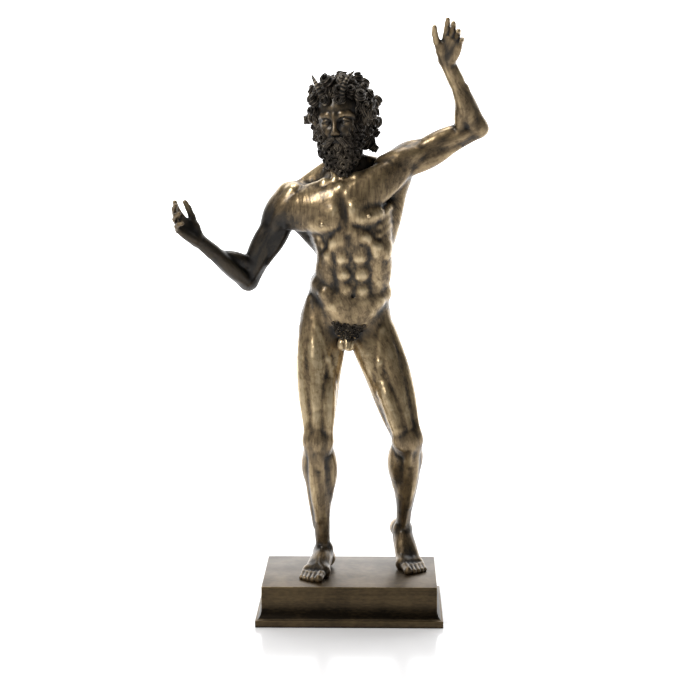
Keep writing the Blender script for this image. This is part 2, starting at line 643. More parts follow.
# %% [markdown]
# ## Arms and hands
# The cap of the shoulder has three parts, and each wraps down the outside of the upper arm. The two heads
# of the upper arm face each other, front and back, and the forearm is thickest just below the elbow. A
# hand is a palm with two pads, and each finger is a chain of three rolls that bend a little more at every
# joint.

# %% Arms
def arm(s):
    c = chest
    bend = unit(wrist[s] - elbow[s])
    line = unit(elbow[s] - shoulder[s])
    upper = Bone(shoulder[s], elbow[s], bend, np.cross(line, bend) * s)
    fore = Bone(elbow[s], wrist[s], palm[s], np.cross(bend, palm[s]))
    over_top = unit(np.cross(c.y, line)) * (-3.4 * s)
    low = mix(shoulder[s], elbow[s], 0.44)
    belly(upper.at(-0.05), upper.at(1), (7.8, 6.2, 4.9), 3.6)
    belly(c.move(shoulder[s], -4.6 * s, -5.2, 3.6), c.move(low, 0, -3.4, 0), (4.8, 6.7, 2.2), 1.8)
    belly(c.move(shoulder[s], 0, 0, 3.6), mix(shoulder[s], elbow[s], 0.49) + over_top, (6.0, 7.7, 2.4), 1.8)
    belly(c.move(shoulder[s], -2.6 * s, 4.6, 2.0), c.move(low, 0, 3.6, 0), (4.2, 6.5, 2.2), 2.2)
    muscles = (  # a place on one bone and a place on the same or the other, radii and blend
        (upper, (0.22, 3.4, 0), upper, (0.93, 3.1, 0), (3.0, 5.9, 2.1), 1.3),
        (upper, (0.48, 0.5, 3.0), upper, (0.97, 0.9, 2.5), (2.8, 4.0, 2.3), 1.4),
        (upper, (0.12, -3.8, -2.2), upper, (0.80, -3.5, -1.9), (4.0, 5.6, 2.1), 1.4),
        (upper, (0.15, -3.2, 2.9), upper, (0.72, -3.3, 2.6), (4.0, 5.3, 2.1), 1.4),
        (upper, (0.70, -3.6, 0), upper, (1.00, -3.6, 0), (2.8, 2.6, 2.6), 2.4),
        (fore, (0.00, 0, 0), fore, (1.00, 0, 0), (5.0, 4.7, 2.9), 2.8),
        (fore, (0.04, 2.2, -2.2), fore, (0.66, 1.5, -1.2), (3.3, 4.8, 1.8), 1.4),
        (upper, (0.80, 1.9, 2.3), fore, (0.56, -0.3, 2.8), (2.4, 4.5, 1.8), 1.4),
        (fore, (0.04, -2.6, 0.3), fore, (0.70, -1.2, 0.4), (3.1, 4.2, 1.7), 1.4),
        (fore, (0.30, 2.2, 1.1), fore, (0.92, 1.6, 0.7), (1.3, 1.7, 0.9), 1.5),
        (fore, (0.70, 0, -1.6), fore, (1.00, 0, -1.8), (2.7, 2.5, 2.4), 1.9),
        (fore, (0.70, 0, 1.6), fore, (1.00, 0, 1.8), (2.7, 2.5, 2.5), 1.9),
        (fore, (0.93, -1.4, -2.3), fore, (0.97, -1.4, -2.5), (1.3, 1.4, 1.3), 1.2),
    )
    point = elbow[s] + unit(line - bend) * 4.6
    belly(elbow[s], point, (4.0, 3.2, 1.5), 2.2)
    for limb, start, other, end, radii, blend in muscles:
        belly(limb.at(*start), other.at(*end), radii, blend)
    return upper, fore


# %% Hands
FINGERS = (  # place across, knuckle, length, radius, spread in degrees
    (5.0, 15.2, 11.6, 1.62, 7),
    (1.7, 16.2, 12.8, 1.66, 1),
    (-1.7, 15.7, 12.2, 1.60, -5),
    (-4.8, 14.2, 9.8, 1.42, -12),
)
PHALANGES = (0.44, 0.31, 0.25)
FINGER_TAPER = (0.1, 0.02, -0.06, -0.3)  # added to the radius at each joint and at the tip
FINGER_CURL = {-1: (12, 20, 28, 36), 1: (6, 14, 20, 26)}
THUMB_SIDE = {-1: vec(0, -1, 1), 1: vec(-1, 0, 0)}


def finger(h, s, n):
    across, knuckle, length, radius, spread = FINGERS[n]
    joints = [h.at(across * 0.92, 0.2, knuckle - 1.5)]
    fan, pitch = math.radians(spread), 0.0
    for share in PHALANGES:
        pitch += math.radians(FINGER_CURL[s][n])
        step = h.x * (math.sin(fan) * math.cos(pitch)) - h.y * math.sin(pitch)
        step = step + h.z * (math.cos(pitch) * math.cos(fan))
        joints.append(joints[-1] + unit(step) * share * length)
    belly(h.at(across * 0.6, 0.4, 4), joints[0], (1.4, 1.6, radius + 0.1), 1.3)
    chain(joints, [radius + change for change in FINGER_TAPER], 0.5)
    belly(joints[0] + h.y * 0.6, joints[0] + h.y * 0.5 + h.z * 0.4, radius * 0.8, 0.8)
    tip = joints[-1]
    back = unit(h.y * math.cos(pitch) + h.z * math.sin(pitch))
    nail = tip + back * radius * 0.42
    belly(nail, nail - unit(tip - joints[-2]) * 0.9, radius * 0.45, 0.2, side=h.x, wide=1.15)


def hand(s):
    flat = unit(palm[s] - reach[s] * (palm[s] @ reach[s]))
    thumb = np.cross(reach[s], flat)
    thumb = thumb if thumb @ THUMB_SIDE[s] > 0 else -thumb
    h = Frame(wrist[s], thumb, -flat, reach[s])  # x to the thumb, y to the hand's back, z to the fingers
    belly(h.at(-2, 0, 0), h.at(-2.6, 0, 13), (2.9, 3.0, 2.4), 2)  # palm, on the little finger's side
    belly(h.at(2, 0, 0), h.at(3, 0, 13.5), (2.9, 3.0, 2.4), 2)  # palm, on the thumb's side
    belly(h.at(0, -0.4, 1), h.at(0, -0.2, 14), (2.9, 2.7, 2.3), 2)  # middle of the palm
    belly(h.at(2.5, -1.6, 2), h.at(5.4, -1.6, 8.5), (2.4, 3.3, 2.2), 1.6)  # pad of the thumb
    belly(h.at(-3.4, -1.2, 2), h.at(-4.6, -0.9, 10.5), (2.2, 2.6, 1.9), 1.6)  # pad of the little finger
    for n in range(len(FINGERS)):
        finger(h, s, n)
    thumb_joints = [h.at(4.2, -1.2, 4), h.at(8, -2, 9.5), h.at(10.4, -2.6, 14), h.at(11.4, -3.4, 18)]
    chain(thumb_joints, (2.3, 2.0, 1.75, 1.45), 0.8)


uppers, fores = zip(*(arm(s) for s in SIDES))
for s in SIDES:
    hand(s)
print("rolls of clay so far", len(clay))

# %% [markdown]
# ## Neck, head and face
# Seen from the front, the eyes lie halfway between crown and chin, one eye's width apart, and the nose
# ends halfway between brows and chin. These are the proportions that every drawing book gives, and the
# face is a calm one on them. The eyes are balls set in hollows under the brow, and thin lids wrap over
# them.

# %% Neck, skull and face
def neck():
    c, h = chest, head
    belly(c.at(0, 5, 20), h.at(0, 4, -9), (10, 9, 9), 4)
    for s in SIDES:
        belly(h.at(10 * s, 5.4, -8), c.at(2.4 * s, -11.4, 21), (2.6, 3, 1.7), 2.0)
    belly(h.at(0, -6, -16), c.at(0, -9, 22), (3.4, 3, 2.4), 2.4)  # throat


def skull():
    h = head
    belly(h.at(0, -1.5, 5.5), h.at(0, 4.5, 5), (13, 13.6, 12.6), 3)  # from the forehead back
    belly(h.at(0, -3, -3), h.at(0, -6.5, -11), (10.6, 10, 7.6), 3)  # cheekbones
    belly(h.at(0, -7, -8), h.at(0, -11, -15), (7, 6.3, 4.4), 3)  # jaw
    belly(h.at(0, 2.5, 6), h.at(0, 6, 1), (14.2, 14.6, 12.6), 1)  # back of the head


def eye(s):
    """The lids are a ball of their own. An almond is cut out of it, and the eyeball fills the opening."""
    h = head
    centre = h.at(5.1 * s, -10.6, 0.5)
    belly(centre, h.move(centre, 0.3 * s, 0.1, 0), 3.25, 0.7)
    inner, outer = h.at(1.9 * s, -13.2, 0.1), h.at(8.2 * s, -12.6, 0.3)
    belly(inner, outer, (0.15, 1.3, 0.15), 0.2, side=h.y, wide=1.5, cut=True)
    belly(centre, h.move(centre, 0.2 * s, 0, 0), 2.8, 0.15)
    belly(h.at(5.1 * s, -13.8, 0.5), h.at(5.1 * s, -13.5, 0.5), 0.45, 0.2, cut=True)


def face():
    h = head
    for s in SIDES:
        belly(h.at(5.1 * s, -17.2, 0.9), h.at(5.5 * s, -14.6, 0.7), (2.8, 3.2, 2.9), 2.0, cut=True)
        brow = [h.at(1.4 * s, -13.5, 3.3), h.at(4.4 * s, -13.3, 4.5), h.at(7.6 * s, -11.8, 4.4),
                h.at(9.9 * s, -9.4, 2.8)]
        chain(brow, (0.8, 0.85, 0.85, 0.7), 2.0)
        eye(s)
        belly(h.at(8.8 * s, -7.8, -2.4), h.at(4.8 * s, -11.2, -5.2), (2.6, 3.1, 2.6), 3.6)  # cheek
        belly(h.at(1.55 * s, -15.2, -5.7), h.at(1.65 * s, -15.7, -6.0), 1.05, 0.8)  # side of the nose
        belly(h.at(0.9 * s, -16.8, -7.3), h.at(1.2 * s, -15.8, -6.4), 0.45, 0.3, cut=True)  # nostril
        belly(h.at(3.5 * s, -13.6, -10.5), h.at(0.9 * s, -14.9, -9.7), (0.4, 0.75, 0.65), 0.5)  # upper lip
    belly(h.at(0, -13.4, 4.4), h.at(0, -16.3, -4.2), (1.35, 1.15, 1.4), 1.6)  # ridge of the nose
    belly(h.at(0, -16.6, -5.0), h.at(0, -16.6, -5.3), 1.5, 0.9)  # its tip
    belly(h.at(-2.7, -13.8, -11.6), h.at(2.7, -13.8, -11.6), (0.5, 1.15, 0.5), 0.6)  # lower lip
    belly(h.at(0, -12.4, -14.6), h.at(0, -12.6, -15), 3.2, 1.8)  # chin


# %% What the hair lies on, the ears and the tail
def hair_and_beard_mass():
    """What the locks lie on, so that no bare head shows between them."""
    h = head
    belly(h.at(0, 1.2, 9.0), h.at(0, 6.0, 6), (14.0, 15.2, 14.0), 1.2)  # top of the head
    belly(h.at(0, 8, 3), h.at(0, 8.5, -16), (12.5, 10.8, 7.5), 2)  # down to the neck
    for s in SIDES:
        belly(h.at(10.6 * s, 2.5, 9), h.at(9.8 * s, 5.0, -14), (4.8, 5.0, 3.4), 2)  # side of the head
        jaw = [h.at(10.8 * s, -3.0, -3), h.at(8.8 * s, -6.4, -10), h.at(6.4 * s, -9.6, -16),
               h.at(2.4 * s, -11, -21.5)]
        chain(jaw, (1.9, 2.5, 3.1, 3.4), 1.6)
        belly(h.at(0.9 * s, -15.6, -8.4), h.at(6.4 * s, -12.9, -11.6), (0.7, 1.3, 1.0), 0.7)  # moustache
    belly(h.at(0, -11.2, -15), h.at(0, -10.4, -24.5), (3.8, 5.0, 2.6), 1.6, side=h.x, wide=1.15)


def ears():
    """Pointed ears that stand out between the curls."""
    h = head
    for s in SIDES:
        root, middle, tip = h.at(12.6 * s, -3.4, -1.5), h.at(16.2 * s, -3.5, 3.0), h.at(19.2 * s, -2.1, 7.8)
        across = np.cross(tip - root, h.y)
        chain([root, middle, tip], (2.0, 2.3, 0.5), 0.9, side=across, wide=1.15)
        belly(h.at(15.1 * s, -6.1, 1.6), h.at(17.7 * s, -5.0, 5.8), (1.0, 1.35, 0.45), 0.8, cut=True)


def tail_path():
    p = pelvis
    return [p.at(0, 14, 12), p.at(0.5, 20, 13.5), p.at(1.5, 24.6, 10), p.at(2.5, 26, 3.5),
            p.at(4, 24.5, -2)]


def groin():
    p = pelvis
    belly(p.at(-4.4, -14, -4.6), p.at(4.4, -14, -4.6), (2.6, 4, 2.6), 2)
    for s in SIDES:
        belly(p.at(1.9 * s, -15.2, -9), p.at(2.2 * s, -16, -12.2), (2.4, 2.9, 2.6), 0.9)
    belly(p.at(0, -16.6, -7), p.at(0.6, -19.6, -12.6), (2.1, 1.9, 1.5), 0.7)


neck()
skull()
face()
before_hair = len(clay)
hair_and_beard_mass()
chain(tail_path(), (2.6, 1.5, 1.4, 1.2, 0.6), 0.8)
hair_mass = clay[before_hair:]
groin()
before_ears = len(clay)
ears()
print("rolls of clay in the whole figure", len(clay))

# %% [markdown]
# ## From clay to skin
# The clay is still only a list of rolls. Here it is sampled on a fine grid: each roll changes only the
# block of grid around it, so hundreds of rolls take seconds. The skin is then laid through every grid cell
# where the distance changes its sign, with one point to a cell and one face to each grid edge that it
# crosses.

# %% Sampling the clay
FAR = 9.0
WIDEST_BLEND = 4.0  # a roll is laid this far around itself, because later rolls melt with what they find


class Grid:
    def __init__(self, low, high, step, reach):
        self.low, self.step, self.reach = np.array(low, float), step, reach
        self.count = tuple(int(math.ceil((h - l) / step)) + 1 for l, h in zip(low, high))
        self.distance = np.full(self.count, FAR, np.float32)

    def block(self, low, high):
        first = np.maximum(0, np.floor((low - self.low) / self.step).astype(int))
        last = np.minimum(self.count, np.ceil((high - self.low) / self.step).astype(int) + 1)
        if (last <= first).any():
            return None
        axes = [(self.low[k] + self.step * np.arange(first[k], last[k])).astype(np.float32)
                for k in range(3)]
        places = axes[0][:, None, None], axes[1][None, :, None], axes[2][None, None, :]
        return tuple(slice(a, b) for a, b in zip(first, last)), places

    def lay(self, roll):
        a, b, radii, blend, side, wide, cut = roll
        margin = max(radii) * max(1.0, wide) + max(blend, self.reach) + 2 * self.step
        got = self.block(np.minimum(a, b) - margin, np.maximum(a, b) + margin)
        if got is None:
            return
        where, places = got
        new = roll_distance(places, a, b, radii, side, wide)
        old = self.distance[where]
        self.distance[where] = -smooth_minimum(-old, new, blend) if cut else smooth_minimum(old, new, blend)

    def sample(self, points):
        """The distance at any point, from the eight grid points around it."""
        place = (points - self.low) / self.step
        first = np.clip(np.floor(place).astype(int), 0, np.array(self.count) - 2)
        share = place - first
        total = np.zeros(len(points))
        for corner in range(8):
            step = np.array([(corner >> axis) & 1 for axis in range(3)])
            weight = np.prod(np.where(step, share, 1 - share), axis=1)
            total += weight * self.distance[tuple((first + step).T)]
        return total

    def outward(self, point):
        """The direction in which the distance grows fastest."""
        steps = np.eye(3) * 0.6
        return unit(self.sample(point + steps) - self.sample(point - steps))

    def onto_skin(self, start, way, height=0.0):
        """Follows a line until it is the given height above the skin."""
        place = np.array(start, float)
        for _ in range(60):
            gap = self.sample(place[None])[0] - height
            if abs(gap) < 0.02:
                break
            place = place + way * np.clip(gap, -1.2, 1.2)
        return place


# %% The distance to a roll
SOFT_END = 0.22  # share of a roll's length over which its thickness starts to change


def eased(share):
    """Runs from 0 to 1 like the share, but starts and stops gently, so a roll has no ridge at its ends."""
    low = (np.clip(share, -SOFT_END, SOFT_END) + SOFT_END) ** 2 / (4 * SOFT_END)
    high = 1 - (np.clip(1 - share, -SOFT_END, SOFT_END) + SOFT_END) ** 2 / (4 * SOFT_END)
    return np.where(share < SOFT_END, low, np.where(share > 1 - SOFT_END, high, share))


def roll_distance(places, a, b, radii, side, wide):
    line = (b - a).astype(np.float32)
    length2 = max(float(line @ line), 1e-9)
    x, y, z = (place - np.float32(a[k]) for k, place in enumerate(places))
    along = (x * line[0] + y * line[1] + z * line[2]) / length2
    share = np.clip(along, 0, 1)
    x, y, z = x - share * line[0], y - share * line[1], z - share * line[2]
    start, middle, end = radii
    bulge = middle - (start + end) / 2
    share = eased(along)
    radius = start + share * (end - start) + 4 * bulge * share * (1 - share)
    away2 = x * x + y * y + z * z
    away = np.sqrt(away2)
    if wide == 1.0:
        return away - radius
    across = x * np.float32(side[0]) + y * np.float32(side[1]) + z * np.float32(side[2])
    squeezed = np.sqrt(np.maximum(away2 - across * across * (1 - 1 / wide**2), 1e-8))
    return away * (1 - radius / np.maximum(squeezed, 1e-4))


def smooth_minimum(a, b, blend):
    melt = np.maximum(blend - np.abs(a - b), 0) / blend
    return np.minimum(a, b) - melt * melt * (blend / 4)


# %% Three grids
def sampled(rolls, low, high, step, reach=WIDEST_BLEND):
    grid = Grid(low, high, step, reach)
    for roll in rolls:
        grid.lay(roll)
    for axis in range(3):  # nothing is cut open at the border
        np.moveaxis(grid.distance, axis, 0)[[0, -1]] = FAR
    return grid


figure_low, figure_high = (np.array(corner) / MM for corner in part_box("satyr_figure"))
head_box = head.origin - vec(24, 28, 30), head.origin + vec(24, 26, 28)
grid = sampled(clay, figure_low - 4, figure_high + 4, GRID_STEP)
fine_grid = sampled(clay, *head_box, GRID_STEP * 0.48, WIDEST_BLEND / 2)
hair_ground = sampled(clay[:before_ears], *head_box, GRID_STEP)
print("grid of", grid.count, "points, and", fine_grid.count, "for the head")


# %% The skin
MOST_TRIANGLES = 196000  # of one piece


def skin_of(grid):
    """One point in each cell that the skin passes, and a square for each grid edge that it crosses."""
    distance = grid.distance
    inside = distance < 0
    corners = [(i, j, k) for i in (0, 1) for j in (0, 1) for k in (0, 1)]
    size = [n - 1 for n in inside.shape]
    total = np.zeros(size, np.int8)
    for i, j, k in corners:
        total += inside[i:size[0] + i, j:size[1] + j, k:size[2] + k]
    cells = np.stack(np.nonzero((total > 0) & (total < 8)), 1)
    number = np.full(size, -1, np.int32)
    number[tuple(cells.T)] = np.arange(len(cells), dtype=np.int32)
    value = [distance[tuple((cells + corner).T)] for corner in corners]
    place, count = np.zeros((len(cells), 3)), np.zeros(len(cells))
    for p in range(8):
        for q in range(p + 1, 8):
            step = np.subtract(corners[q], corners[p])
            if np.abs(step).sum() != 1:
                continue
            crossed = (value[p] < 0) != (value[q] < 0)
            share = np.where(crossed, value[p] / np.where(crossed, value[p] - value[q], 1), 0)
            place += crossed[:, None] * (np.array(corners[p]) + share[:, None] * step)
            count += crossed
    points = (cells + place / count[:, None]) * grid.step + grid.low
    squares = [squares_across(axis, inside, number) for axis in range(3)]
    return points, np.concatenate(squares)


def squares_across(axis, inside, number):
    low, high = [slice(None)] * 3, [slice(None)] * 3
    low[axis], high[axis] = slice(0, -1), slice(1, None)
    edges = np.stack(np.nonzero(inside[tuple(low)] != inside[tuple(high)]), 1)
    u, v = (axis + 1) % 3, (axis + 2) % 3
    step_u, step_v = np.eye(3, dtype=int)[u], np.eye(3, dtype=int)[v]
    around = [edges - step_u - step_v, edges - step_v, edges, edges - step_u]
    square = np.stack([number[tuple(cell.T)] for cell in around], 1)
    outward = inside[tuple(edges.T)]
    square[~outward] = square[~outward][:, ::-1]
    return square


def flatten_soles(points):
    """What reaches below the plinth's top is pressed flat on it."""
    points[:, 2] = np.maximum(points[:, 2], PLINTH_TOP)


# %% Smoothing the skin
def near(points, centre, inner, outer):
    """One within the inner distance of a centre, falling to zero at the outer one."""
    away = np.linalg.norm(points - centre, axis=1)
    share = np.clip((outer - away) / (outer - inner), 0, 1)
    return share * share * (3 - 2 * share)


def smooth_here(points):
    """How much each point is smoothed: fully on trunk and limbs, not on head, hands, feet and groin."""
    share = np.ones(len(points))
    share *= 1 - near(points, head.at(0, -2, -1), 23, 30)
    share *= 1 - near(points, pelvis.at(0, -16, -8), 7, 12)
    for s in SIDES:
        share *= 1 - near(points, wrist[s] + reach[s] * 16, 15, 22)
        share *= 1 - near(points, ankle[s] + vec(0, -12, -10), 20, 28)
    return share


BACK_LOW, BACK_HIGH = 138, 266  # heights between which the back is smoothed once more


def smooth_back(points):
    """The back is smoother than the front, but not at the root of the tail."""
    share = np.clip((points[:, 1] - 4) / 8, 0, 1)
    share *= np.clip((points[:, 2] - BACK_LOW) / 12, 0, 1) * np.clip((BACK_HIGH - points[:, 2]) / 10, 0, 1)
    return share * (1 - near(points, pelvis.at(1, 22, 6), 7, 12)) * smooth_here(points)


def finished_mesh(piece):
    """The mesh that a piece's modifiers give."""
    return bpy.data.meshes.new_from_object(piece.evaluated_get(bpy.context.evaluated_depsgraph_get()))


def skin_piece(name, points, squares, rounds):
    """The skin as a mesh, with faces merged where it is nearly flat.

    It is smoothed as with a damp brush. Rounds says how often the brush goes over all of it, and then
    over the back.
    """
    piece = new_piece(name, points * MM, squares)
    for shares, count in zip((smooth_here(points), smooth_back(points)), rounds):
        group = piece.vertex_groups.new(name="brush %d" % count)
        shares = np.round(shares, 1)
        for share in np.unique(shares[shares > 0]):
            group.add(np.flatnonzero(shares == share).tolist(), float(share), "REPLACE")
        brush = piece.modifiers.new("damp brush", "SMOOTH")
        brush.factor, brush.iterations, brush.vertex_group = 0.5, count, group.name
    merge = piece.modifiers.new("merge flat faces", "DECIMATE")
    merge.ratio = min(1.0, MOST_TRIANGLES / (2 * len(squares)))  # each square is two triangles
    mesh = finished_mesh(piece)
    piece.modifiers.clear()
    piece.vertex_groups.clear()
    piece.data = mesh
    mesh.polygons.foreach_set("use_smooth", [True] * len(mesh.polygons))
    return piece


# %% [markdown]
# Lids, lips and nostrils are thinner than the rest, so the head is skinned from a finer grid. The two
# skins overlap by a millimetre around the neck, under the beard. They are the same surface there, so the
# seam doesn't show.

# %% The two skins
def part_of(points, squares, wanted):
    """Only the squares with all their corners wanted, and the points that they use."""
    squares = squares[wanted[squares].all(axis=1)]
    used, numbers = np.unique(squares, return_inverse=True)
    return points[used], numbers.reshape(squares.shape)


NECK_SEAM = -19.5  # height in the head's own axes
HEAD_HALF_WIDTH = 21.5


def above_seam(points, lap):
    local = head.local(points)
    return (local[:, 2] > NECK_SEAM - lap) & (np.abs(local[:, 0]) < HEAD_HALF_WIDTH)


points, squares = skin_of(grid)
flatten_soles(points)
body = skin_piece("satyr_body", *part_of(points, squares, ~above_seam(points, -0.6)), (9, 18))
points, squares = skin_of(fine_grid)
face_piece = skin_piece("satyr_head", *part_of(points, squares, above_seam(points, 0.6)), (0, 0))
print("body of %d faces, head of %d faces" % (len(body.data.polygons), len(face_piece.data.polygons)))

# %% [markdown]
# ## A helper for Geometry Nodes
# What follows a path is made by node trees. Each tree is built here in code, has a named input for every
# size, and ends in Realize Instances and Set Material. A tree is run once and its result kept as a plain
# mesh, so nothing is left to compute when the figure is shown or exported.

# %% Node trees
class Tree(Nodes):
    """A tree of geometry nodes with a named input for each size."""

    def __init__(self, name, **sizes):
        self.group = bpy.data.node_groups.new(name, "GeometryNodeTree")
        super().__init__(self.group)
        panel = self.group.interface
        panel.new_socket("Geometry", in_out="INPUT", socket_type="NodeSocketGeometry")
        self.sockets = {}
        for label, value in sizes.items():
            kind = "NodeSocketInt" if isinstance(value, int) else "NodeSocketFloat"
            socket = panel.new_socket(label.replace("_", " "), in_out="INPUT", socket_type=kind)
            socket.default_value = value
            self.sockets[label] = socket.identifier
        panel.new_socket("Geometry", in_out="OUTPUT", socket_type="NodeSocketGeometry")
        self.values = sizes
        self.start = self.nodes.new("NodeGroupInput")
        self.end = self.nodes.new("NodeGroupOutput")

    def size(self, label):
        return self.start.outputs[label.replace("_", " ")]

    def vector(self, x, y, z):
        return self.node("ShaderNodeCombineXYZ", X=x, Y=y, Z=z)

    def circle(self):
        count = self.size("Points_around")
        return self.node("GeometryNodeCurvePrimitiveCircle", Resolution=count, Radius=1.0)

    def sweep(self, path, profile, **settings):
        return self.node("GeometryNodeCurveToMesh", Curve=path, Profile_Curve=profile, **settings)

    def mark(self, geometry, name, value):
        """Stores a value on each point, for the materials to read."""
        kind = {"data_type": "FLOAT", "domain": "POINT"}
        return self.node("GeometryNodeStoreNamedAttribute", kind, Geometry=geometry, Name=name, Value=value)

    def finish(self, geometry, material):
        real = self.node("GeometryNodeRealizeInstances", Geometry=geometry)
        painted = self.node("GeometryNodeSetMaterial", Geometry=real, Material=material)
        smooth = self.node("GeometryNodeSetShadeSmooth", Geometry=painted, Shade_Smooth=True)
        self.links.new(smooth, self.end.inputs[0])

    def run(self, source, name):
        """Runs the tree on an object and returns the result as a plain mesh object."""
        modifier = source.modifiers.new(name, "NODES")
        modifier.node_group = self.group
        for label, value in self.values.items():
            modifier[self.sockets[label]] = value
        mesh = finished_mesh(source)
        source.modifiers.remove(modifier)
        piece = bpy.data.objects.new(name, mesh)
        bpy.context.scene.collection.objects.link(piece)
        bpy.data.objects.remove(source)
        return piece


def guide_curves(name, paths):
    """A curve object with one open line for each path: points in mm, radii in mm and twists in turns."""
    data = bpy.data.curves.new(name, "CURVE")
    data.dimensions = "3D"
    for places, radii, twists in paths:
        line = data.splines.new("POLY")
        line.points.add(len(places) - 1)
        weighted = np.column_stack([np.array(places) * MM, np.ones(len(places))])
        line.points.foreach_set("co", weighted.ravel())
        line.points.foreach_set("radius", np.array(radii, float) * MM)
        line.points.foreach_set("tilt", np.array(twists, float) * math.tau)
    piece = bpy.data.objects.new(name, data)
    bpy.context.scene.collection.objects.link(piece)
    return piece


# %% [markdown]
# ## Curls
# The hair is cast as thick locks. Each flows over the skull and then winds up into a short tube that
# stands out from the head, so its open end shows as a ring. Every lock follows a guide: a smooth stretch
# from its root, then a coil around an axis that points away from the head. One node tree sweeps the same
# section along all the guides: a circle with a few deep grooves, turned as it goes, so that a lock looks
# like twisted strands.

# %% The guide of a lock
TUBE = 0.95  # mm, radius of a lock where its coil begins to close; its root is half as thick again
COIL = 1.7  # radius of the coil
RISE = 3.6  # how far the coil climbs along its axis


def lock_guide(root, centre, axis, size, turns, hand):
    """Points, radii and twists of a lock that ends in a coil around centre. Size scales the whole curl."""
    tube, coil, rise = TUBE * size, COIL * size, RISE * size
    ahead = centre - root
    ahead = unit(ahead - axis * (ahead @ axis))
    across = np.cross(axis, ahead)
    angles = np.arange(0, turns * math.tau + 0.01, math.tau / 11)
    share = angles / angles[-1]
    swing = -math.pi / 2 + angles
    shrink = coil * (1.06 - 0.16 * share)
    wound = centre + np.outer(np.cos(swing) * shrink, ahead)
    wound = wound + np.outer(np.sin(swing) * shrink, across) * hand + np.outer((share - 0.5) * rise, axis)
    entry, heading = wound[0], unit(wound[1] - wound[0])
    span = np.linalg.norm(entry - root)
    steps = np.linspace(0, 1, 7)[:-1][:, None]
    start_way = unit(unit(ahead) + axis * 0.5) * span
    curve = ((2 * steps**3 - 3 * steps**2 + 1) * root + (steps**3 - 2 * steps**2 + steps) * start_way
             + (3 * steps**2 - 2 * steps**3) * entry + (steps**3 - steps**2) * heading * span)
    places = np.vstack([curve, wound])
    along = np.linspace(0, 1, len(places))
    radii = tube * (1.5 - 0.55 * along - 0.32 * np.clip((along - 0.86) / 0.14, 0, 1) ** 2)
    twists = along * 0.9 * hand
    return places, radii, twists


def head_normal(turn, lift):
    """The direction away from the head at a turn from the face and a lift above the level, in degrees."""
    t, l = math.radians(turn), math.radians(lift)
    return head.move(vec(0, 0, 0), math.sin(t) * math.cos(l), -math.cos(t) * math.cos(l), math.sin(l))


# %% [markdown]
# The locks stand in rows from the crown down. The face is left free, more widely in the lower rows. Each
# lock leans a little to one side and its neighbour to the other, and every second one winds the other way.
# Every fifth lock above the neck is larger and stands proud of the rest, which makes the outline of the
# hair wild.

# %% Locks of the head
HAIR_ROWS = (  # lift, locks, free angle on each side of the face, in degrees
    (84, 3, 0),
    (65, 8, 0),
    (47, 12, 0),
    (32, 13, 5),
    (15, 12, 48),
    (-1, 12, 58),
    (-17, 11, 68),
    (-33, 10, 76),
    (-49, 8, 84),
)
HAIRLINE = 27  # lift of the lowest hair above the forehead
FOREHEAD = 46  # turn on each side of the face at which the hair comes down
HAIR_MIDDLE = head.at(0, 2.5, 4.5)
OUTSIDE = 24  # mm from the middle, where a line towards the head starts


def on_head(way, height):
    """A place above the mass of the hair, found from outside in a direction from the head's middle."""
    return hair_ground.onto_skin(HAIR_MIDDLE + way * OUTSIDE, -way, height)


def hair_guides():
    guides = []
    for row, (lift, locks, free) in enumerate(HAIR_ROWS):
        for n in range(locks):
            turn = free + (n + 0.5) * (360 - 2 * free) / locks
            wave = math.sin(2.4 * n + 1.7 * row)
            proud = 0 < row < 7 and (2 * n + row) % 5 == 0
            size = (1.28 if proud else 1.03) + 0.14 * math.sin(1.9 * n + 0.8 * row)
            away = head_normal(turn + 6 * wave, lift - 5)
            tip = on_head(away, (4.3 if proud else 2.4) + wave)
            root = on_head(head_normal(turn - 11 * wave, lift + 20), -0.8)
            lean = away + head.z * 0.35 * math.cos(3.1 * n + row) + head.x * 0.3 * math.sin(2.2 * n + row)
            hand = 1 if (n + row) % 2 else -1
            guides.append(lock_guide(root, tip, unit(lean), size, 2.1 + 0.2 * wave, hand))
    return guides


head_locks = hair_guides()
print("locks on the head", len(head_locks))


# %% Strands between the locks
def dip(share):
    """How much lower a strand lies towards its two ends, in mm."""
    return 1.1 * np.abs(2 * share - 1) ** 4


def strand_radii(share, thickness):
    return thickness * np.sin(math.pi * (0.08 + 0.84 * share)) + 0.12


def hair_strands():
    """Long wavy locks that frame the face and fill the hollows between the curls."""
    share = np.linspace(0, 1, 13)
    guides = []
    for row, (lift, locks, free) in enumerate(HAIR_ROWS):
        for n in range(2 * locks):
            turn = free + n * (360 - 2 * free) / (2 * locks) + 3
            over_face = min(turn, 360 - turn) < FOREHEAD
            low = max(lift - 18, HAIRLINE) if over_face else lift - 18
            ways = [head_normal(turn + 7 * math.sin(5 * t + 1.3 * n) * t, mix(lift + 16, low, t))
                    for t in share]
            heights = 0.45 + 0.5 * np.sin(7 * share + n) - dip(share)
            places = [on_head(way, height) for way, height in zip(ways, heights)]
            radii = strand_radii(share, 1.15 + 0.2 * math.sin(1.7 * n))
            guides.append((np.array(places), radii, share * 0.6))
    return guides


head_strands = hair_strands()
print("strands between them", len(head_strands))

# %% [markdown]
# The beard hangs in rows too: short curls along the jaw, fuller ones under the lip, and a pointed tuft at
# the chin. A moustache lock sweeps from under the nose to each side and curls up at its end.

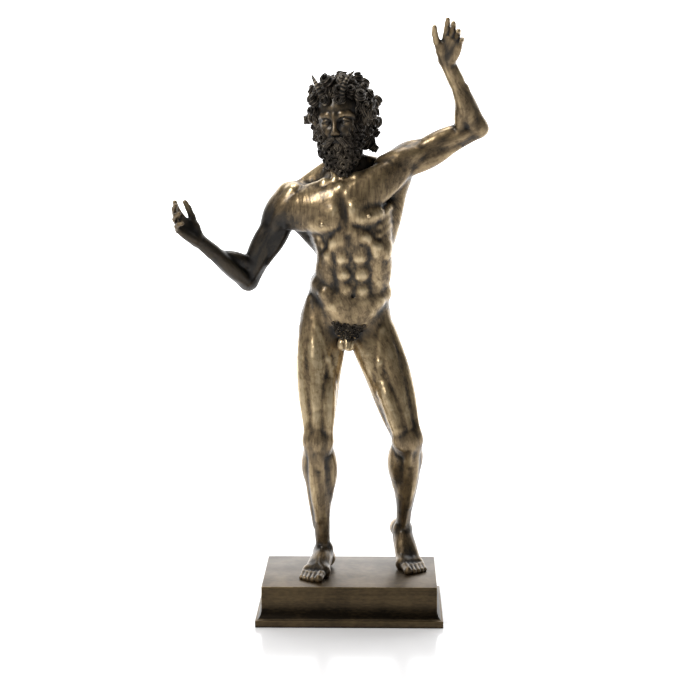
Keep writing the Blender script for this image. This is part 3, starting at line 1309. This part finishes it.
# %% Locks of the beard
BEARD_ROWS = (  # height and the turns of the curls from the middle, in degrees
    (-4.5, (70, 88)),
    (-9.0, (54, 72, 90)),
    (-13.2, (34, 52, 70, 88)),
    (-17.0, (12, 32, 52, 74)),
    (-20.8, (0, 24, 48, 72)),
    (-24.2, (14, 42, 70)),
    (-27.4, (0, 38)),
)
MOUSTACHE = (  # across, front and height of the middle, and of the end of each strand
    ((3.4, -17.0, -8.9), (9.0, -12.6, -12.8)),
    ((3.6, -17.2, -9.7), (8.4, -13.6, -14.6)),
    ((3.0, -16.8, -9.9), (6.4, -14.8, -14.4)),
)


def beard_way(turn):
    t = math.radians(turn)
    return head.move(vec(0, 0, 0), math.sin(t), -math.cos(t), 0)


def beard_place(turn, height, above):
    """A place on the beard's mass, found from outside at a turn from the middle."""
    axis = head.at(0, -6, max(height, -24.5))
    way = unit(beard_way(turn) + head.z * min(0, height + 24.5) * 0.25)
    return hair_ground.onto_skin(axis + way * 18, -way, above)


def beard_strand(turn, height):
    share = np.linspace(0, 1, 11)
    heights = 0.5 + 0.4 * np.sin(8 * share + turn) - dip(share)
    places = [beard_place(turn + 5 * math.sin(5 * t + turn), height + 4.5 - 7 * t, above)
              for t, above in zip(share, heights)]
    return np.array(places), strand_radii(share, 0.95), share * 0.5


# %% Moustache, and the beard as a whole
def smooth_path(corners, count):
    """Points of an even curve through the corners."""
    corners = np.array(corners)
    padded = np.vstack([2 * corners[0] - corners[1], corners, 2 * corners[-1] - corners[-2]])
    places = []
    for at in np.linspace(0, len(corners) - 1.0001, count):
        n, t = int(at), at % 1
        a, b, c, d = padded[n:n + 4]
        places.append(0.5 * (2 * b + (c - a) * t + (2 * a - 5 * b + 4 * c - d) * t**2
                             + (3 * b - a - 3 * c + d) * t**3))
    return np.array(places)


def mouth_lock(corners, s, count, swell, start, twist):
    """A lock through corners given across, front and up, thicker in its middle by the swell."""
    path = smooth_path([head.at(across * s, front, up) for across, front, up in corners], count)
    radii = 0.5 + swell * np.sin(np.linspace(start, 3.0, count))
    return path, radii, np.linspace(0, twist, count)


def moustache_guides(s):
    """The strands of one half of the moustache, and two small ones under the lip."""
    for (x, y, z), (end_x, end_y, end_z) in MOUSTACHE:
        corners = ((0.6, -16.4, -8.3), (x, y, z),
                   ((x + end_x) / 2, (y + end_y) / 2 - 0.8, (z + end_z) / 2 + 0.3),
                   (end_x, end_y, end_z), (end_x + 0.9, end_y + 0.3, end_z + 0.7))
        yield mouth_lock(corners, s, 12, 0.75, 0.25, 0.8)
    for x, z in ((0.9, -17.6), (2.4, -17.0)):
        corners = ((x * 0.7, -14.2, -12.6), (x, -15.9, -14.4), (x * 1.3, -16.2, z))
        yield mouth_lock(corners, s, 8, 0.65, 0.4, 0.4)


def beard_guides():
    guides = []
    for row, (height, turns) in enumerate(BEARD_ROWS):
        for turn in [t * s for t in turns for s in SIDES if t > 0 or s > 0]:
            wave = math.sin(0.11 * turn + 1.3 * row)
            tip = beard_place(turn + 4 * wave, height + 0.8 * wave, 1.5)
            root = beard_place(turn * 0.94, height + 5.5, -0.8)
            lean = beard_way(turn) + head.z * (0.35 * wave - 0.25) + head.x * 0.3 * math.cos(2 * turn + row)
            guides.append(lock_guide(root, tip, unit(lean), 0.84 + 0.08 * wave, 1.9, 1 if turn > 0 else -1))
        for turn in np.arange(-turns[-1], turns[-1] + 1, 11):
            if abs(turn) >= turns[0] - 8:
                guides.append(beard_strand(turn, height))
    for s in SIDES:
        guides += moustache_guides(s)
    return guides


beard_locks = beard_guides()
print("locks of the beard and moustache", len(beard_locks))

# %% [markdown]
# The tail ends in a tuft, so wavy strands are laid round its path and spread in the middle. Below the belly
# lie small flat curls in four rows. Both use the guides that the hair of the head uses, only smaller.

# %% Hair of the tail and below the belly
def tail_guides():
    """Wavy strands around the tail, thickest halfway along."""
    path = smooth_path(tail_path(), 14)
    guides = []
    for n in range(9):
        turn = n * math.tau / 9
        places, share = [], np.linspace(0, 1, 14)
        for t, place in zip(share, path):
            spread = 1.5 + 0.5 * math.sin(math.pi * t) - 0.9 * t
            angle = turn + 0.9 * math.sin(4 * t + n)
            aside = pelvis.x * spread * math.cos(angle)
            behind = pelvis.y * spread * math.sin(angle) * 0.8
            hanging = pelvis.z * 1.6 * t * (1 + math.cos(turn))
            places.append(place + aside + behind - hanging)
        radii = 0.35 + np.sin(math.pi * (0.1 + 0.85 * share))
        guides.append((np.array(places[2:]), radii[2:], share[2:]))
    return guides


GROIN_ROWS = ((-0.4, 10), (-2.6, 9), (-4.8, 7), (-7.0, 4))  # height and the number of curls


def groin_guides():
    """Small flat curls over the groin, in rows that get shorter downwards."""
    p = pelvis
    guides = []
    for row, (height, curls) in enumerate(GROIN_ROWS):
        for n in range(curls):
            wave = math.sin(2.3 * n + 1.9 * row)
            across = (n - (curls - 1) / 2) * 1.95 + 0.35 * wave
            start = p.at(across, -30, height + 0.5 * wave)
            tip = grid.onto_skin(start, p.y, 0.45)
            root = grid.onto_skin(p.move(start, 0.9 * wave, 0, 1.6), p.y, -0.5)
            lean = unit(grid.outward(tip) - p.z * 0.2 * wave)
            guides.append(lock_guide(root, tip, lean, 0.5, 1.4, 1 if n % 2 else -1))
    return guides


body_hair = tail_guides() + groin_guides()
print("strands and curls on the body", len(body_hair))

# %% [markdown]
# The guides are only lines with a thickness. One tree gives them all their body: a circle is dented by a
# few grooves, swept along each guide and closed at both ends. How deep a point lies in a groove is stored
# with it, so that the finish can darken the grooves.

# %% One tree sweeps all the locks
def lock_tree(material):
    """Sweeps a grooved circle along the guides, as thick as each guide says."""
    tree = Tree("sweep_locks", Points_around=20, Grooves=5.0, Groove_depth=0.2)
    circle = tree.circle()
    place = tree.node("GeometryNodeInputPosition")
    x, y, _ = tree.xyz(place)
    angle = tree.math("ARCTAN2", y, x)
    wave = tree.math("COSINE", tree.times(angle, tree.size("Grooves")))
    dent = tree.times(tree.minus(1.0, wave), tree.size("Groove_depth"))
    left = tree.minus(1.0, dent)
    scaled = tree.node("ShaderNodeVectorMath", {"operation": "SCALE"}, i0=place, Scale=left)
    section = tree.node("GeometryNodeSetPosition", Geometry=circle, Position=scaled)
    marked = tree.mark(section, "groove", tree.times(tree.minus(1.0, wave), 0.5))
    thickness = tree.node("GeometryNodeInputRadius")
    guides = tree.start.outputs["Geometry"]
    tree.finish(tree.sweep(guides, marked, Scale=thickness, Fill_Caps=True), material)
    return tree


# %% [markdown]
# ## Horns
# Two small horns rise from the forehead and bend back. A goat's horn grows in yearly rings, so its
# thickness swells and shrinks along its length. The node tree takes a plain guide, adds the rings to its
# radius by a sine of the length, and sweeps a circle along it.

# %% Horns
HORN_CORNERS = (  # across, front and up, from the root to the tip
    (4.4, -10.2, 10.0),
    (5.2, -16.4, 16.0),
    (8.6, -15.6, 24.0),
    (12.5, -8.0, 27.5),
)


def horn_guides():
    guides = []
    for s in SIDES:
        corners = [head.at(across * s, front, up) for across, front, up in HORN_CORNERS]
        share = np.linspace(0, 1, 60)[:, None]
        places = ((1 - share) ** 3 * corners[0] + 3 * (1 - share) ** 2 * share * corners[1]
                  + 3 * (1 - share) * share**2 * corners[2] + share**3 * corners[3])
        radii = 1.95 * (1 - share[:, 0]) ** 0.6 + 0.25
        guides.append((places, radii, np.zeros(len(places))))
    return guides


def horn_tree(material):
    tree = Tree("ringed_horn", Rings=12.0, Ring_height=0.10, Points_around=24)
    factor = tree.node("GeometryNodeSplineParameter")
    wave = tree.math("SINE", tree.times(factor, tree.times(tree.size("Rings"), math.tau)))
    fade = tree.minus(1.0, tree.math("POWER", factor, 3.0))
    swell = tree.times(tree.times(wave, fade), tree.size("Ring_height"))
    radius = tree.times(tree.node("GeometryNodeInputRadius"), tree.plus(1.0, swell))
    marked = tree.mark(tree.start.outputs["Geometry"], "groove", tree.minus(0.5, tree.times(wave, 0.5)))
    tree.finish(tree.sweep(marked, tree.circle(), Scale=radius, Fill_Caps=True), material)
    return tree


horn_lines = horn_guides()
steps_along = np.linalg.norm(np.diff(horn_lines[0][0], axis=0), axis=1)
print("length of a horn %.1f mm" % steps_along.sum())

# %% [markdown]
# ## The plinth
# The plinth is a block whose foot flares out in a hollow moulding, a cove, above a straight band. Its
# shape follows a rule: one profile runs around a rectangle and is mitred at the corners. The node tree
# sweeps the profile along the rectangle. A sweep measures its profile along the corner's diagonal, so the
# profile is made wider by the square root of two, and then every side has its true width. The sizes come
# from the solid plinth in the frame.

# %% Sizes of the plinth
BAND_HEIGHT = 4.0
COVE_TOP = 10.0
COVE_REACH = 3.5
EDGE_ROUND = 0.45
PLINTH_WIDTH = float(PLINTH_HIGH[0] - PLINTH_LOW[0]) - 2 * COVE_REACH
PLINTH_DEPTH = float(PLINTH_HIGH[1] - PLINTH_LOW[1]) - 2 * COVE_REACH
MITRE = math.sqrt(2)
print("plinth %.1f x %.1f mm at the top, %.1f mm high" % (PLINTH_WIDTH, PLINTH_DEPTH, PLINTH_TOP))


# %% The tree of the moulding
def moulding_profile(tree):
    """The wall, the cove and the band of one side: x is how far out and y how far down."""
    def place(out, height):
        return tree.vector(out, tree.times(height, -1.0), 0.0)

    def line(start, end):
        return tree.node("GeometryNodeCurvePrimitiveLine", Start=start, End=end)

    top, cove_top, band = (tree.size(label) for label in ("Height", "Cove_top", "Band_height"))
    reach = tree.times(tree.size("Cove_reach"), MITRE)
    straight = line((0, 0, 0), (1, 0, 0))
    even = tree.node("GeometryNodeResampleCurve", Curve=straight, Count=tree.size("Cove_steps"))
    angle = tree.times(tree.node("GeometryNodeSplineParameter"), math.pi / 2)
    out = tree.times(reach, tree.minus(1.0, tree.math("COSINE", angle)))
    height = tree.minus(cove_top, tree.times(tree.minus(cove_top, band), tree.math("SINE", angle)))
    cove = tree.node("GeometryNodeSetPosition", Geometry=even, Position=place(out, height))
    return line(place(0.0, top), place(0.0, cove_top)), cove, line(place(reach, band), place(reach, 0.0))


def moulding_tree(material):
    tree = Tree("plinth_moulding", Width=PLINTH_WIDTH * MM, Depth=PLINTH_DEPTH * MM,
                Height=PLINTH_TOP * MM, Band_height=BAND_HEIGHT * MM, Cove_top=COVE_TOP * MM,
                Cove_reach=COVE_REACH * MM, Cove_steps=16)

    def rectangle(margin):
        width, depth = (tree.plus(tree.size(label), margin) for label in ("Width", "Depth"))
        return tree.node("GeometryNodeCurvePrimitiveQuadrilateral", Width=width, Height=depth)

    def filled(outline):
        return tree.node("GeometryNodeFillCurve", {"mode": "NGONS"}, Curve=outline)

    path = rectangle(0.0)
    foot_path = rectangle(tree.times(tree.size("Cove_reach"), 2.0))
    lifted = tree.vector(0.0, 0.0, tree.size("Height"))
    lid = tree.node("GeometryNodeTransform", Geometry=filled(path), Translation=lifted)
    underside = tree.node("GeometryNodeFlipFaces", Mesh=filled(foot_path))
    join = tree.add("GeometryNodeJoinGeometry")
    sides = [tree.sweep(path, profile) for profile in moulding_profile(tree)]
    for surface in (*sides, lid, underside):
        tree.links.new(surface, join.inputs[0])
    whole = tree.node("GeometryNodeMergeByDistance", Geometry=join.outputs[0], Distance=0.01 * MM)
    tree.finish(whole, material)
    return tree


def make_plinth(material):
    piece = moulding_tree(material).run(new_piece("plinth_seed", [(0, 0, 0)], []), "moulded_plinth")
    bevel = piece.modifiers.new("soft edges", "BEVEL")
    bevel.width = EDGE_ROUND * MM
    bevel.segments = 3
    bevel.limit_method = "ANGLE"
    bevel.angle_limit = math.radians(35)
    mesh = finished_mesh(piece)
    piece.modifiers.remove(bevel)
    piece.data = mesh
    mesh.set_sharp_from_angle(angle=math.radians(25))
    return piece


# %% [markdown]
# ## Where the skin is hollow and where it is raised
# The stain stays in the hollows and the rubbing cloth only meets the raised forms. The clay's distance
# tells both: a little away from a raised point the distance grows faster than on a flat, and near a fold
# it grows slower. The difference is stored on the skin at two reaches, a fine one for folds and fingers
# and a broad one for muscles. A third value says how much a region was rubbed, since the head and hands of
# such a casting stay dark.

# %% Values stored on the skin
def store(mesh, name, values):
    """One number, or one vector, for each point of a mesh."""
    kind, field = ("FLOAT", "value") if values.ndim == 1 else ("FLOAT_VECTOR", "vector")
    attribute = mesh.attributes.new(name, kind, "POINT")
    attribute.data.foreach_set(field, values.astype(np.float32).ravel())


def mesh_points(mesh):
    flat = np.empty(len(mesh.vertices) * 3, np.float32)
    mesh.vertices.foreach_get("co", flat)
    return flat.reshape(-1, 3).astype(float) / MM


def raised(grid, points, reach):
    """Above zero on a bulge and below zero in a fold: about the reach over the radius of the form."""
    total = -6 * grid.sample(points)
    for axis in range(3):
        for way in (-reach, reach):
            moved = points.copy()
            moved[:, axis] += way
            total += grid.sample(moved)
    return total / reach


def wiped_places():
    """Places that the cloth rubbed less or more: centre, change, and from and to how far away it fades."""
    yield head.at(0, -2, -2), -0.72, 19, 30  # head
    for s in SIDES:
        yield wrist[s] + reach[s] * 14, -0.5, 11, 24  # hand
        yield head.at(17 * s, -3, 4), -0.3, 7, 13  # ear
        yield ankle[s] + vec(0, -12, -8), -0.42, 20, 36  # foot
        yield mix(knee[s], ankle[s], 0.5), -0.26, 22, 45  # shank
        yield knee[s] + vec(0, -8, 0), -0.36, 5, 18  # front of the knee
        yield ball[s] + vec(0.2 * s, -7, -1), -0.34, 8, 19  # toes
    yield mix(hip[-1], knee[-1], 0.45), 0.34, 20, 50  # right thigh, the brightest place
    yield mix(shoulder[-1], elbow[-1], 0.6), -0.5, 14, 36  # right upper arm
    yield elbow[-1], -0.70, 36, 64  # right elbow
    yield wrist[-1] + reach[-1] * 12, -0.22, 24, 50  # right hand once more
    yield mix(shoulder[1], elbow[1], 0.6), -0.28, 26, 60  # left upper arm
    yield pelvis.at(0, -14, -7), -0.4, 7, 15  # below the belly
    for share in np.linspace(0, 1, 9):  # down the middle of the belly
        yield mix(chest.at(0, -18.5, 10), pelvis.at(0, -16.5, 19), share), -0.15, 1, 6


def rubbed(points):
    amount = np.ones(len(points))
    for centre, change, inner, outer in wiped_places():
        amount += change * near(points, centre, inner, outer)
    return np.clip(amount, 0.05, 1.2)


# %% [markdown]
# The stain is wiped along the limbs, so its streaks follow the bones. Each point of the skin is given a
# place in the axes of the bones near it, squeezed along the bone: a pattern on that place is then drawn
# out along the limb.

# %% Streaks that follow the limbs
STREAK_LENGTH = 0.13  # how far the pattern moves along the bone for each millimetre
spine = Bone(pelvis.at(0, 0, -8), chest.at(0, 0, 22), vec(0, -1, 0), vec(1, 0, 0))
skull_bone = Bone(head.at(0, 0, 20), head.at(0, 0, -14), vec(0, -1, 0), vec(1, 0, 0))


def foot_bone(s):
    return Bone(ankle[s], ankle[s] + unit(vec(-0.1 * s, -1, -0.25)) * 28, UP, vec(s, 0, 0))


def limb_places(points):
    softness = 7.0  # mm over which the streaks of one limb turn into those of the next
    bones = [spine, skull_bone, *thighs, *shanks, *uppers, *fores, *(foot_bone(s) for s in SIDES)]
    bones += [Bone(wrist[s], wrist[s] + reach[s] * 28, palm[s], vec(s, 0, 0)) for s in SIDES]
    girths = [14, 13] + [9] * 4 + [6] * 4 + [5] * 4  # trunk, skull, legs, arms, then feet and hands
    total, weights = np.zeros((len(points), 3)), np.zeros(len(points))
    for bone, girth in zip(bones, girths):
        apart = points - bone.a
        along = apart @ bone.along
        clipped = np.clip(along, 0, bone.length)
        away = np.linalg.norm(apart - np.outer(clipped, bone.along), axis=1) - girth
        weight = np.exp(-np.clip(away, -5, 60) / softness)
        place = np.stack([apart @ bone.front, apart @ bone.outer, along * STREAK_LENGTH], 1)
        total += weight[:, None] * place
        weights += weight
    return total / weights[:, None]


def in_hair(points):
    """One on the hair and beard, falling to zero just beside them."""
    gaps = [roll_distance(points.T, a, b, radii, side, wide)
            for a, b, radii, _, side, wide, _ in hair_mass]
    return np.clip((1.1 - np.min(gaps, axis=0)) / 0.9, 0, 1)


def mark_skin(piece, grid):
    points = mesh_points(piece.data)
    fine, broad = raised(grid, points, 1.3), raised(grid, points, 3.5)
    store(piece.data, "hair", in_hair(points))
    store(piece.data, "raised_fine", fine)
    store(piece.data, "raised_broad", broad)
    store(piece.data, "rubbed", rubbed(points))
    store(piece.data, "along_limb", limb_places(points))
    for name, values in (("fine folds", fine), ("broad forms", broad)):
        print("%s: %s from %.2f to %.2f" % (piece.name, name, values.min(), values.max()))


mark_skin(body, grid)
mark_skin(face_piece, fine_grid)

# %% [markdown]
# ## The bronze finish
# Resin with bronze powder looks like metal but not like a mirror: it is a satin of medium roughness. The
# colour runs from a nearly black brown in the folds, over a warm olive brown, to a light golden brown
# where it was rubbed. Fine streaks of stain cross it, and the rubbed places are also the smoothest.

# %% The bronze of the skin
BRONZE = (  # share of rubbing and colour
    (0.00, (0.010, 0.008, 0.006)),
    (0.25, (0.050, 0.036, 0.020)),
    (0.50, (0.170, 0.119, 0.062)),
    (0.75, (0.370, 0.270, 0.145)),
    (1.00, (0.600, 0.470, 0.280)),
)


def skin_bronze():
    f = Finish("figure_bronze_skin")
    limb = f.stored("along_limb", "Vector")
    forms = f.noise(f.place((1, 1, 2.6), limb), 0.15, 2.0, 0.45)
    streaks = f.noise(f.place((1, 1, 2.6), limb), 0.5, 4.0, 0.6)
    threads = f.noise(limb, 1.9, 3.0, 0.6)
    clouds = f.noise(f.place(), 75.0, 4.0)
    flecks = f.noise(f.place(), 420.0, 2.0)
    dents = f.noise(f.place(), 90.0, 2.0, 0.45)
    fine = f.spread(f.stored("raised_fine"), -1.6, 1.1, -0.44, 0.32)
    broad = f.spread(f.stored("raised_broad"), -1.5, 1.7, -0.38, 0.36)
    marks = ((streaks, 0.13), (threads, 0.04), (clouds, 0.1), (forms, 0.08))
    stains = [f.stain(noise, amount) for noise, amount in marks]
    worn = f.plus(fine, broad, *stains, f.spread(flecks, 0.36, 0.5, -0.1, 0.01))
    rubbing = f.times(f.stored("rubbed"), f.minus(1.0, f.times(f.stored("hair"), 0.9)))
    share = f.plus(f.times(worn, f.math("MULTIPLY_ADD", rubbing, 0.65, 0.35)),
                   f.math("MULTIPLY_ADD", rubbing, 0.52, -0.02))
    f.set("Base Color", f.ramp(share, BRONZE))
    f.set("Metallic", 0.75)
    f.set("Roughness", f.spread(share, 0.1, 0.9, 0.46, 0.28))
    f.set("Coat Weight", 0.35)
    f.set("Coat Roughness", 0.16)
    height = f.plus(f.times(forms, 0.6), f.times(clouds, 0.35), f.times(dents, 0.8))
    f.set("Normal", f.bump(height, 0.7, 0.0015))
    return f.material


# %% [markdown]
# The hair is hardly rubbed at all. It is almost black in its depth, and only the edges of the locks and
# the rims of the curls have been touched by the cloth. The grooves were marked by the node tree when it
# swept the locks.

# %% The bronze of the hair
HAIR_BRONZE = (
    (0.00, (0.007, 0.006, 0.005)),
    (0.25, (0.032, 0.026, 0.020)),
    (0.50, (0.110, 0.090, 0.066)),
    (0.75, (0.260, 0.215, 0.155)),
    (1.00, (0.480, 0.410, 0.310)),
)


def hair_bronze(name, lightness):
    f = Finish(name)
    groove = f.stored("groove")
    spots = f.noise(f.place(), 260.0, 3.0)
    patches = f.noise(f.place(), 70.0, 2.0)
    share = f.plus(f.spread(groove, 0.0, 1.0, 0.42, 0.0), f.spread(spots, 0.35, 0.7, -0.1, 0.16),
                   f.spread(patches, 0.3, 0.7, -0.12, 0.14))
    f.set("Base Color", f.ramp(f.times(share, lightness), HAIR_BRONZE))
    f.set("Metallic", 0.75)
    f.set("Roughness", f.spread(share, 0.0, 0.6, 0.5, 0.34))
    f.set("Normal", f.bump(spots, 0.25, 0.0002))
    return f.material


# %% [markdown]
# The plinth is darker than the figure and keeps its colour. Its sides were brushed lengthwise: fine level
# streaks run round it, the cove holds the dark stain and the edges are rubbed bright. The pattern is
# squeezed in height, so it comes out as streaks on the sides and as broad soft clouds on the level top.

# %% The bronze of the plinth
PLINTH_BRONZE = (
    (0.00, (0.010, 0.007, 0.004)),
    (0.35, (0.056, 0.038, 0.018)),
    (0.65, (0.140, 0.096, 0.045)),
    (1.00, (0.420, 0.310, 0.170)),
)


def plinth_bronze():
    f = Finish("plinth_bronze_brushed")
    streaks = f.noise(f.place((10, 10, 700)), 1.0, 5.0, 0.62)
    broad_streaks = f.noise(f.place((12, 12, 120)), 1.0, 3.0)
    clouds = f.noise(f.place(), 40.0, 4.0)
    specks = f.noise(f.place((300, 300, 900)), 1.0, 2.0)
    x, y, z = f.xyz(f.coordinates("Object"))

    def between(value, low, high):
        """From zero at the low place, in mm, to one at the high place."""
        return f.spread(value, low * MM, high * MM)

    half_width, half_depth = PLINTH_WIDTH / 2, PLINTH_DEPTH / 2
    faces = f.plus(between(f.math("ABSOLUTE", x), half_width - 1.2, half_width),
                   between(f.math("ABSOLUTE", y), half_depth - 1.2, half_depth),
                   between(z, PLINTH_TOP - 0.9, PLINTH_TOP))
    edge = f.spread(faces, 1.55, 2.0)  # two of the three faces meet
    edge = f.times(edge, between(z, COVE_TOP - 3, COVE_TOP))
    foot_edge = f.times(between(z, BAND_HEIGHT - 1.1, BAND_HEIGHT - 0.1),
                        between(z, BAND_HEIGHT + 0.5, BAND_HEIGHT + 0.1))
    cove = f.times(between(z, BAND_HEIGHT + 0.1, BAND_HEIGHT + 1.2),
                   between(z, COVE_TOP + 5.0, COVE_TOP - 2.5))
    dark_foot = between(z, 1.3, 0.2)
    share = f.plus(0.42, f.stain(streaks, 0.045), f.stain(broad_streaks, 0.03), f.stain(clouds, 0.07),
                   f.stain(specks, 0.055), f.times(edge, 0.3), f.times(foot_edge, 0.12))
    share = f.minus(share, f.times(cove, 0.40), f.times(dark_foot, 0.4))
    f.set("Base Color", f.ramp(share, PLINTH_BRONZE))
    f.set("Metallic", 0.7)
    f.set("Specular IOR Level", f.spread(cove, 0.0, 1.0, 0.5, 0.1))
    f.set("Roughness", f.spread(f.plus(clouds, f.times(streaks, 0.5)), 0.5, 1.0, 0.46, 0.38))
    f.set("Normal", f.bump(f.plus(streaks, f.times(specks, 0.4)), 0.3, 0.0003))
    return f.material


# %% [markdown]
# ## Putting it together
# The locks and horns are cast with the figure, so they stand for the same solid as the body does. Every
# piece says which solid it replaces, which finish it takes and that it rides on the one body of the
# statuette.

# %% All the pieces
skin_finish = skin_bronze()
for piece in (body, face_piece):
    piece.data.materials.append(skin_finish)
hair_finish = hair_bronze("figure_bronze_hair", 1.0)
locks = lock_tree(hair_finish)
hair = locks.run(guide_curves("hair_guides", head_locks), "curled_hair")
strands = locks.run(guide_curves("strand_guides", head_strands + body_hair), "wavy_strands")
beard = locks.run(guide_curves("beard_guides", beard_locks), "curled_beard")
horn_rings = horn_tree(hair_bronze("figure_bronze_horns", 1.25))
horns = horn_rings.run(guide_curves("horn_guides", horn_lines), "ringed_horns")
plinth = make_plinth(plinth_bronze())

for piece in (body, face_piece, hair, strands, beard, horns):
    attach(piece, "root")
    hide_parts("satyr_figure")
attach(plinth, "root")
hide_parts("plinth")
for piece in (body, face_piece, hair, strands, beard, horns, plinth):
    triangles = sum(len(face.vertices) - 2 for face in piece.data.polygons)
    print("%s: %d triangles" % (piece.name, triangles))
